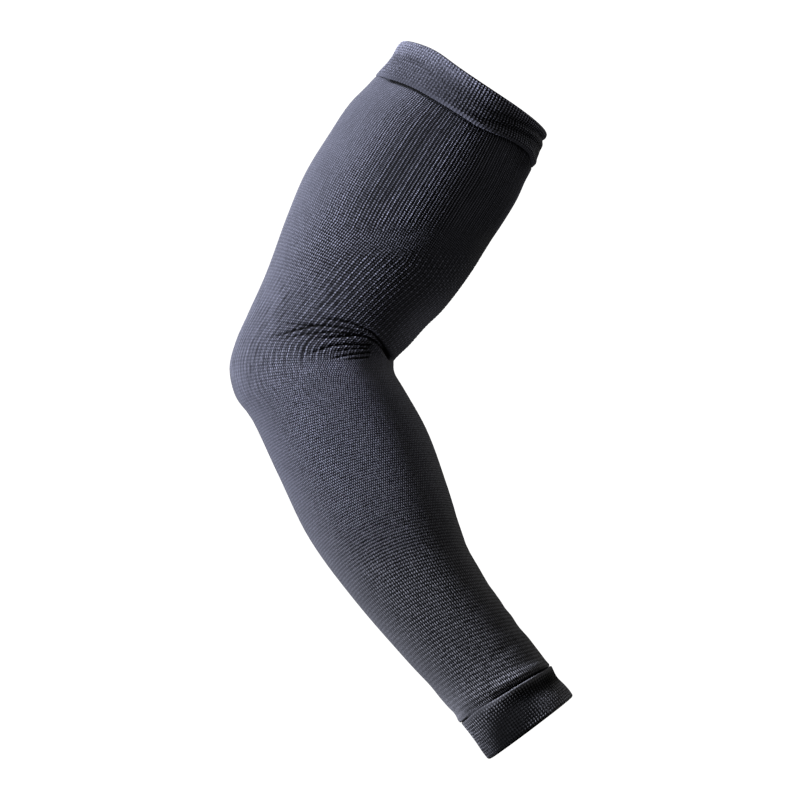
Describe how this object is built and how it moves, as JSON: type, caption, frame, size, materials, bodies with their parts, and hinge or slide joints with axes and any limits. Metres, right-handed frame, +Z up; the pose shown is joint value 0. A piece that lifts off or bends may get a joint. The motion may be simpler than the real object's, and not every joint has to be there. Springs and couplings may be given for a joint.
{
  "type": "arm sleeve",
  "caption": "Knitted arm sleeve in its worn, bent shape: an open tube with a ribbed upper arm, textured elbow and plain forearm, and a turned-over band at each opening.",
  "frame": {"origin": "centre of the upper opening, where the upper arm goes in", "axes": "+Z up with the upper opening at the top and the wrist at the bottom; the bend lies in the XZ plane with the back of the elbow towards -X; +Y across the arm"},
  "size_m": [0.1984, 0.0968, 0.4136],
  "materials": {
    "tube_knit": "charcoal seamless knit with ribs and raised cells, soft sheen",
    "band_knit": "charcoal doubled rib knit, soft sheen"
  },
  "bodies": {
    "root": {"arm_tube": "tube_knit", "upper_band": "band_knit", "wrist_band": "band_knit"}
  },
  "joints": []
}
